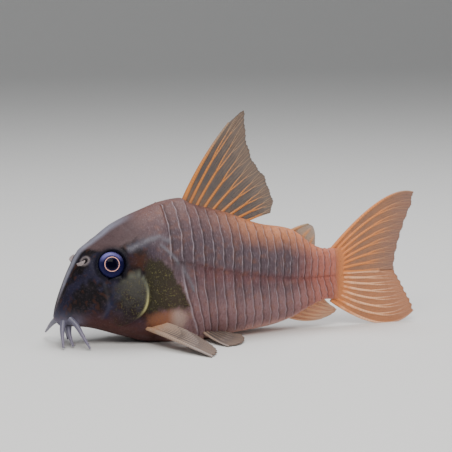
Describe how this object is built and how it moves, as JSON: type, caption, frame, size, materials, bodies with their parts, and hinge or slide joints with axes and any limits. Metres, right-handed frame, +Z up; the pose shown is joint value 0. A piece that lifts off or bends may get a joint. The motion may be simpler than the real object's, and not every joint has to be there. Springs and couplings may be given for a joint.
{
  "type": "corydoras_catfish",
  "caption": "Life-size still model of an adult slate corydoras catfish resting on its belly and spread fins, with scutes, barbels and a raised dorsal fin.",
  "frame": {"origin": "on the floor, midway between the snout and the tail fin tips and between the two flanks", "axes": "+X from the snout to the tail, +Y to the fish's right, +Z up"},
  "size_m": [0.066, 0.0374, 0.0384],
  "materials": {
    "skin": "mauve-brown wet skin with thin pale scute edges",
    "shield": "dark green-gold gill cover with a metallic sheen",
    "fin_web": "orange rays in a smoky translucent web",
    "eye": "clear dark blue eyeball with a thin pale gold ring",
    "barbel": "bluish-grey soft skin"
  },
  "bodies": {
    "root": {"head": "skin", "trunk": "skin", "tail_stalk": "skin", "gill_cover_left": "shield", "gill_cover_right": "shield", "eye_left": "eye", "eye_right": "eye", "dorsal_fin": "fin_web", "adipose_fin": "fin_web", "anal_fin": "fin_web", "tail_fin_upper": "fin_web", "tail_fin_lower": "fin_web", "pectoral_fin_left": "fin_web", "pectoral_fin_right": "fin_web", "pelvic_fin_left": "fin_web", "pelvic_fin_right": "fin_web", "barbel_upper_left": "barbel", "barbel_upper_right": "barbel", "barbel_lower_left": "barbel", "barbel_lower_right": "barbel", "barbel_chin_left": "barbel", "barbel_chin_right": "barbel"}
  },
  "joints": []
}
